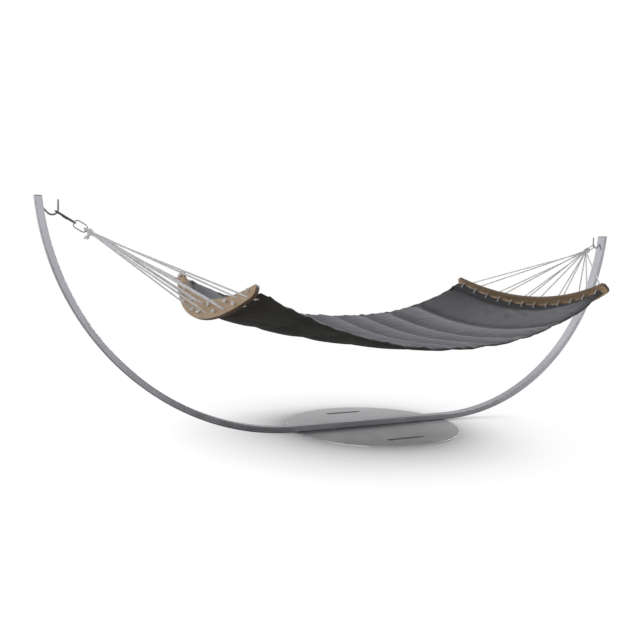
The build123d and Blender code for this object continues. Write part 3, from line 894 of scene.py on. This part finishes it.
def woven(name, light, worn, thread):
    """Plain weave at the size of its threads, with a dull sheen, faded patches and painted shade on the bed's
    last channel.
    """
    material, tree, shader = new_finish(name, light, metallic=0.0, roughness=0.85)
    shader.inputs["Specular IOR Level"].default_value = 0.15
    shader.inputs["Sheen Weight"].default_value = 0.05
    shader.inputs["Sheen Roughness"].default_value = 0.5
    lengthwise = put(tree, "TexCoord")
    bands = []
    for direction in ("X", "Y"):
        values = {"Scale": wave_band / thread, "Distortion": 0.6, "Detail": 1.0}
        band = put(tree, "TexWave", values, bands_direction=direction)
        wire(tree, lengthwise.outputs["UV"], band, "Vector")
        bands.append(band.outputs["Fac"])
    weave = reckon(tree, "MULTIPLY", *bands)
    fading = speckle(tree, object_points(tree), scale=5, detail=6.0)
    slubs = speckle(tree, object_points(tree), scale=420, detail=3.0)
    mixed = reckon(tree, "MULTIPLY_ADD", slubs, slub_share, fading)
    wire(tree, tint(tree, span(tree, mixed, 0, 1, *fading_range), light, worn), shader, "Base Color")
    # Painted shade: cloth darkened past a length along the bed, on its last, steep channel.
    run = put(tree, "SeparateXYZ")
    wire(tree, lengthwise.outputs["UV"], run, "Vector")
    weigh(tree, shader, span(tree, run.outputs["X"], 1, end_shade, *end_panel))
    wire(tree, span(tree, weave, low=0.78, high=0.95, start=0, end=1), shader, "Roughness")
    relief(tree, shader, weave, strength=0.35, depth=0.0005)
    return material


quilt_top = woven("quilt_top", cloth_grey, cloth_worn, cloth_thread)
quilt_under = woven("quilt_under", cloth_charcoal, cloth_dust, cloth_thread)


def across_at(column):
    """Place across the bed of a column of points, closer together towards the edges."""
    even = 2 * column / bed_columns - 1
    return (1 - edge_crowding) * even + edge_crowding * math.sin(even * math.pi / 2)


build = bmesh.new()
uv_layer = build.loops.layers.uv.new("cloth")
bed_rows = channel_count * channel_rows
layers = []
for face in (1, -1):
    layer = []
    for row in range(bed_rows + 1):
        line = []
        for column in range(bed_columns + 1):
            line.append(build.verts.new(bed_point(row, across_at(column), face)))
        layer.append(line)
    layers.append(layer)


def dark_edge_width(row, column):
    """Width of the dark edge that shows on top: the charcoal binding, widened on the far side towards the
    left hem as painted shade of the far wall.
    """
    if column < bed_columns / 2:
        return near_binding
    return far_binding + far_painted_shade * max(1 - row / (2 * channel_rows), 0)


def cloth_face(corners, places, material_index):
    """Add a face of the bed, with the places of its corners as rows and columns."""
    made = build.faces.new(corners)
    made.smooth = True
    made.material_index = material_index
    for loop, (row, column) in zip(made.loops, places):
        loop[uv_layer].uv = (row / bed_rows * cloth_length, column / bed_columns * cloth_width)


for layer_index, layer in enumerate(layers):
    for row in range(bed_rows):
        for column in range(bed_columns):
            places = ((row, column), (row + 1, column), (row + 1, column + 1), (row, column + 1))
            dark_edge = (1 - abs(across_at(column + 0.5))) * middle_half_width < dark_edge_width(row, column)
            cloth_face([layer[r][c] for r, c in places], places, 1 if dark_edge else layer_index)
top, under = layers
for row in range(bed_rows):
    for column in (0, bed_columns):
        corners = (top[row][column], top[row + 1][column], under[row + 1][column], under[row][column])
        places = ((row, column), (row + 1, column), (row + 1, column), (row, column))
        cloth_face(corners, places, int(column > 0))
for column in range(bed_columns):
    for row in (0, bed_rows):
        corners = (top[row][column], top[row][column + 1], under[row][column + 1], under[row][column])
        places = ((row, column), (row, column + 1), (row, column + 1), (row, column))
        cloth_face(corners, places, 1)
bed = piece_from(build, "quilt", quilt_top, quilt_under)


def swell(piece, held, limit):
    """Blow sewn cloth up by simulation: held points stay, and no other moves further than the limit."""
    start = [vertex.co.copy() for vertex in piece.data.vertices]
    piece.vertex_groups.new(name="seams").add(held, 1.0, "REPLACE")
    cloth = piece.modifiers.new("filling", "CLOTH")
    cloth.point_cache.frame_end = swell_frames
    cloth.settings.quality = 5
    cloth.settings.mass = 0.2
    cloth.settings.tension_stiffness = 12
    cloth.settings.compression_stiffness = 12
    cloth.settings.shear_stiffness = 4
    cloth.settings.bending_stiffness = 0.2
    cloth.settings.vertex_group_mass = "seams"
    cloth.settings.use_pressure = True
    cloth.settings.uniform_pressure_force = swell_pressure
    cloth.settings.shrink_min = -cloth_ease
    cloth.settings.effector_weights.gravity = 0
    for step in range(1, swell_frames + 1):
        bpy.context.scene.frame_set(step)
    blown = piece.evaluated_get(bpy.context.evaluated_depsgraph_get()).data.vertices
    moved = [vertex.co - old for vertex, old in zip(blown, start)]
    piece.modifiers.remove(cloth)
    for vertex, old, shift in zip(piece.data.vertices, start, moved):
        vertex.co = old + shift * min(1, limit / max(shift.length, 1e-9))
    bpy.context.scene.frame_set(1)


line_points = bed_columns + 1
layer_points = line_points * (bed_rows + 1)
held = [layer * layer_points + row * line_points + column
        for layer in range(2) for row in range(bed_rows + 1) for column in range(line_points)
        if row % channel_rows == 0 or min(column, bed_columns - column) < edge_columns]
swell(bed, held, swell_limit)
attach(bed, "hammock")
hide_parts(*[f"quilted_panel_{channel + 1}" for channel in range(channel_count)])


# Hems: bands of cloth folded over both ends of the bed, pierced for the eyelets, their top grey painted a
# little darker than the bed as shade under the boards.
# The lacing draws each band to a shallow wave between one eyelet and the next.
hem_rows = 22
hem_columns = 480
hem_edge = -0.0165
hem_end = 0.0374
hem_wave = 0.0035
hem_flutter = 0.0012
hem_fullness = 0.9
edge_fullness = 0.6
hole_radius = 0.0056
# Painted shade: the hems' top grey, darker than the bed's cloth.
hem_shaded_grey = (0.105, 0.107, 0.12)
hem_shaded_worn = (0.13, 0.133, 0.146)


def hem_point(side, distance, across, face):
    """Point of a hem's upper or lower face at a distance from its edge."""
    middle = hem_middle(side, distance)
    base, normal = arch_point(middle, board_up(side), board_across(side), hem_half_width, hem_depth, across)
    fade = (1 - distance / hem_length) ** 2
    between = 0.5 + 0.5 * math.cos(2 * math.pi * base.y / rope_pitch)
    drawn = board_out(side) * -hem_wave * between * fade
    flutter = normal * hem_flutter * math.sin(2 * math.pi * base.y / rope_pitch) * distance / hem_length
    hang = Vector((0, 0, corner_drop(side, 0, across)))
    fullness = hem_fullness if distance > hem_edge else edge_fullness
    return base + drawn + flutter - hang + normal * face * hem_thickness / 2 * fullness


hem_shaded_cloth = woven("hem_shaded_cloth", hem_shaded_grey, hem_shaded_worn, cloth_thread)
for side, name in sides:
    build = bmesh.new()
    uv_layer = build.loops.layers.uv.new("cloth")
    eyelets = [station_hole(side, i, 0, board_thickness + hem_gap + eyelet_inset) for i in range(rope_count)]
    layers = []
    for face in (1, -1):
        layer = []
        for row in range(hem_rows + 1):
            distance = hem_edge + (hem_end - hem_edge) * row / hem_rows
            line = [build.verts.new(hem_point(side, distance, 2 * c / hem_columns - 1, face))
                    for c in range(hem_columns + 1)]
            layer.append(line)
        layers.append(layer)
    for layer_index, layer in enumerate(layers):
        for row in range(hem_rows):
            for column in range(hem_columns):
                places = ((row, column), (row + 1, column), (row + 1, column + 1), (row, column + 1))
                made = build.faces.new([layer[r][c] for r, c in places])
                made.smooth = True
                made.material_index = 1 - layer_index
                for loop, (r, c) in zip(made.loops, places):
                    loop[uv_layer].uv = (r / hem_rows * hem_length, c / hem_columns * 2 * hem_half_width)
    top, under = layers
    for row in range(hem_rows):
        for column in (0, hem_columns):
            corners = (top[row][column], top[row + 1][column], under[row + 1][column], under[row][column])
            build.faces.new(corners)
    for column in range(hem_columns):
        for row in (0, hem_rows):
            corners = (top[row][column], top[row][column + 1], under[row][column + 1], under[row][column])
            build.faces.new(corners)
    pierced = []
    for made in build.faces:
        middle = made.calc_center_median()
        if min((middle - place).length for place in eyelets) < hole_radius:
            pierced.append(made)
    bmesh.ops.delete(build, geom=pierced, context="FACES")
    hem = piece_from(build, f"{name}_hem_band", quilt_under, hem_shaded_cloth)
    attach(hem, "hammock")
    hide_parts(f"{name}_hem")


# Eyelets: two-part rolled rings of nickelled brass sheet, pressed through the hems.
# Handling has dulled them to a warm grey.
eyelet_light = (0.46, 0.45, 0.43)
eyelet_dark = (0.28, 0.27, 0.25)
eyelet_metal = steel("eyelet_metal", eyelet_light, eyelet_dark,
                     roughness=0.32, grain=(300, 300, 300), depth=0.0001)
dress(eyelet_metal, "left_eyelets", "right_eyelets")


# Seam stitching: a row of thread stitches along every cross seam, above and below.
# Two more rows hold each hem.
stitch_pitch = 0.006
stitch_length = 0.0044
stitch_thick = 0.0011
stitch_steps = 120
seam_reach = 0.992
hem_reach = 0.985
hem_stitches = (0.022, 0.032)
thread_grey = (0.1, 0.1, 0.11)
thread_dark = (0.06, 0.06, 0.065)
thread_pale = (0.14, 0.14, 0.15)


def stitch_tree(material):
    """Node tree that lays stitches along curves."""
    tree = bpy.data.node_groups.new("stitch_row", "GeometryNodeTree")
    tree.interface.new_socket("Geometry", in_out="INPUT", socket_type="NodeSocketGeometry")
    for label in ("Pitch", "Length", "Thickness"):
        tree.interface.new_socket(label, in_out="INPUT", socket_type="NodeSocketFloat")
    tree.interface.new_socket("Geometry", in_out="OUTPUT", socket_type="NodeSocketGeometry")
    entry = tree.nodes.new("NodeGroupInput")
    leave = tree.nodes.new("NodeGroupOutput")
    points = tree.nodes.new("GeometryNodeCurveToPoints")
    points.mode = "LENGTH"
    ball = tree.nodes.new("GeometryNodeMeshUVSphere")
    ball.inputs["Segments"].default_value = 5
    ball.inputs["Rings"].default_value = 4
    ball.inputs["Radius"].default_value = 0.5
    shape = tree.nodes.new("ShaderNodeCombineXYZ")
    lay = tree.nodes.new("GeometryNodeInstanceOnPoints")
    real = tree.nodes.new("GeometryNodeRealizeInstances")
    coat = tree.nodes.new("GeometryNodeSetMaterial")
    coat.inputs["Material"].default_value = material
    link = tree.links.new
    link(entry.outputs["Geometry"], points.inputs["Curve"])
    link(entry.outputs["Pitch"], points.inputs["Length"])
    link(entry.outputs["Thickness"], shape.inputs["X"])
    link(entry.outputs["Thickness"], shape.inputs["Y"])
    link(entry.outputs["Length"], shape.inputs["Z"])
    link(points.outputs["Points"], lay.inputs["Points"])
    link(points.outputs["Rotation"], lay.inputs["Rotation"])
    link(ball.outputs["Mesh"], lay.inputs["Instance"])
    link(shape.outputs["Vector"], lay.inputs["Scale"])
    link(lay.outputs["Instances"], real.inputs["Geometry"])
    link(real.outputs["Geometry"], coat.inputs["Geometry"])
    link(coat.outputs["Geometry"], leave.inputs["Geometry"])
    return tree


thread, thread_nodes, thread_shader = new_finish("seam_thread", thread_grey, metallic=0.0, roughness=0.7)
fuzz = speckle(thread_nodes, object_points(thread_nodes), scale=900, detail=3.0)
wire(thread_nodes, tint(thread_nodes, fuzz, thread_dark, thread_pale), thread_shader, "Base Color")
relief(thread_nodes, thread_shader, fuzz, strength=0.4, depth=0.0003)

even_steps = [2 * step / stitch_steps - 1 for step in range(stitch_steps + 1)]
seam_lines = []
for face in (1, -1):
    for seam in range(channel_count + 1):
        row = seam * channel_rows
        seam_lines.append([bed_point(row, across * seam_reach, face) for across in even_steps])
    for side, name in sides:
        for distance in hem_stitches:
            seam_lines.append([hem_point(side, distance, across * hem_reach, face) for across in even_steps])

rows = bpy.data.curves.new("seam_lines", "CURVE")
rows.dimensions = "3D"
for line in seam_lines:
    spline = rows.splines.new("POLY")
    spline.points.add(len(line) - 1)
    for point, place in zip(spline.points, line):
        point.co = (*place, 1)
row_holder = bpy.data.objects.new("seam_lines", rows)
bpy.context.scene.collection.objects.link(row_holder)
sewing = row_holder.modifiers.new("sewing", "NODES")
sewing.node_group = stitch_tree(thread)
sizes = {"Pitch": stitch_pitch, "Length": stitch_length, "Thickness": stitch_thick}
for socket in sewing.node_group.interface.items_tree:
    if socket.in_out == "INPUT" and socket.name in sizes:
        sewing[socket.identifier] = sizes[socket.name]
depsgraph = bpy.context.evaluated_depsgraph_get()
stitch_mesh = bpy.data.meshes.new_from_object(row_holder.evaluated_get(depsgraph))
bpy.data.objects.remove(row_holder)
stitches = bpy.data.objects.new("seam_stitches", stitch_mesh)
bpy.context.scene.collection.objects.link(stitches)
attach(stitches, "hammock")


# Studio: a plain white floor that fades to the white of the background, and soft light from above.
# The camera stands where the photographer did.
floor_radius = 9.0
sky_level = 0.29
dim_way = (1, 0, 0)
dim_level = 0.55
dim_range = (0.3, 0.9)
fade_start = 0.45
fade_end = 1.08
floor_white = (0.86, 0.86, 0.86)
floor_mirrored = (0.66, 0.66, 0.66)
camera_place = Vector((-1.9642, -3.1255, 0.8305))
camera_yaw = 0.4838
camera_pitch = 0.0742
camera_roll = 0.0326
camera_lens = 38.75
photo_size = 643
photo_centre = (322.95, 321.21)

build = bmesh.new()
bmesh.ops.create_circle(build, cap_ends=True, segments=96, radius=floor_radius)
floor = piece_from(build, "floor")
floor_paint, floor_nodes, floor_shader = new_finish("floor_paint", floor_white, metallic=0.0, roughness=0.9)
floor_points = put(floor_nodes, "TexCoord")
floor_reach = put(floor_nodes, "VectorMath", operation="LENGTH")
wire(floor_nodes, floor_points.outputs["Object"], floor_reach, 0)
fade = span(floor_nodes, floor_reach.outputs["Value"], 0, 1, fade_start, fade_end)
floor_rays = put(floor_nodes, "LightPath")
# Painted reflection: metal that mirrors the floor sees it darker, as dark ground.
mirrored = floor_rays.outputs["Is Glossy Ray"]
wire(floor_nodes, tint(floor_nodes, mirrored, floor_white, floor_mirrored), floor_shader, "Base Color")
soft_fade = reckon(floor_nodes, "SQRT", fade)
fade_seen = reckon(floor_nodes, "MULTIPLY", soft_fade, floor_rays.outputs["Is Camera Ray"])
white = put(floor_nodes, "Emission", {"Color": (1, 1, 1, 1), "Strength": 1.0})
blend = put(floor_nodes, "MixShader")
wire(floor_nodes, fade_seen, blend, 0)
wire(floor_nodes, floor_shader.outputs[0], blend, 1)
wire(floor_nodes, white.outputs[0], blend, 2)
wire(floor_nodes, blend.outputs[0], floor_nodes.nodes["Material Output"], "Surface")
floor.data.materials.append(floor_paint)

scene = bpy.context.scene
world = bpy.data.worlds.new("studio")
world.use_nodes = True
scene.world = world
sky_nodes = world.node_tree
backdrop = sky_nodes.nodes["Background"]
rays = put(sky_nodes, "LightPath")
seen = reckon(sky_nodes, "MAXIMUM", rays.outputs["Is Camera Ray"], rays.outputs["Is Transmission Ray"])
ways = put(sky_nodes, "TexCoord")
toward = put(sky_nodes, "VectorMath", operation="DOT_PRODUCT")
toward.inputs[1].default_value = dim_way
wire(sky_nodes, ways.outputs["Generated"], toward, 0)
strength = put(sky_nodes, "Mix", data_type="FLOAT")
wire(sky_nodes, rays.outputs["Is Glossy Ray"], strength, 0)
wire(sky_nodes, span(sky_nodes, seen, low=sky_level, high=1, start=0, end=1), strength, 2)
wire(sky_nodes, span(sky_nodes, toward.outputs["Value"], 1, dim_level, *dim_range), strength, 3)
wire(sky_nodes, strength.outputs[0], backdrop, "Strength")
backdrop.inputs["Color"].default_value = (1, 1, 1, 1)


def softbox(name, place, target, size, power):
    """Square area lamp aimed at a point."""
    lamp = bpy.data.lights.new(name, "AREA")
    lamp.size = size
    lamp.energy = power
    holder = bpy.data.objects.new(name, lamp)
    holder.location = place
    holder.rotation_euler = (Vector(target) - Vector(place)).to_track_quat("-Z", "Y").to_euler()
    scene.collection.objects.link(holder)


softbox("sky_panel", place=(6.2, 1.8, 5.2), target=(0, 0, 0.5), size=3.0, power=640)
softbox("side_panel", place=(-5.0, -2.0, 1.8), target=(0, 0, 0.6), size=2.6, power=42)

forward = Vector((math.sin(camera_yaw), math.cos(camera_yaw), 0)) * math.cos(camera_pitch)
forward.z = -math.sin(camera_pitch)
level = Vector((math.cos(camera_yaw), -math.sin(camera_yaw), 0))
above = level.cross(forward)
rightward = level * math.cos(camera_roll) + above * math.sin(camera_roll)
upward = above * math.cos(camera_roll) - level * math.sin(camera_roll)
lens = bpy.data.cameras.new("camera")
lens.sensor_width = 36
lens.lens = camera_lens
lens.shift_x = (photo_size / 2 - photo_centre[0]) / photo_size
lens.shift_y = (photo_centre[1] - photo_size / 2) / photo_size
camera = bpy.data.objects.new("camera", lens)
aim = Matrix((rightward, upward, -forward)).transposed().to_4x4()
camera.matrix_world = Matrix.Translation(camera_place) @ aim
scene.collection.objects.link(camera)
scene.camera = camera
scene.view_settings.view_transform = "Standard"
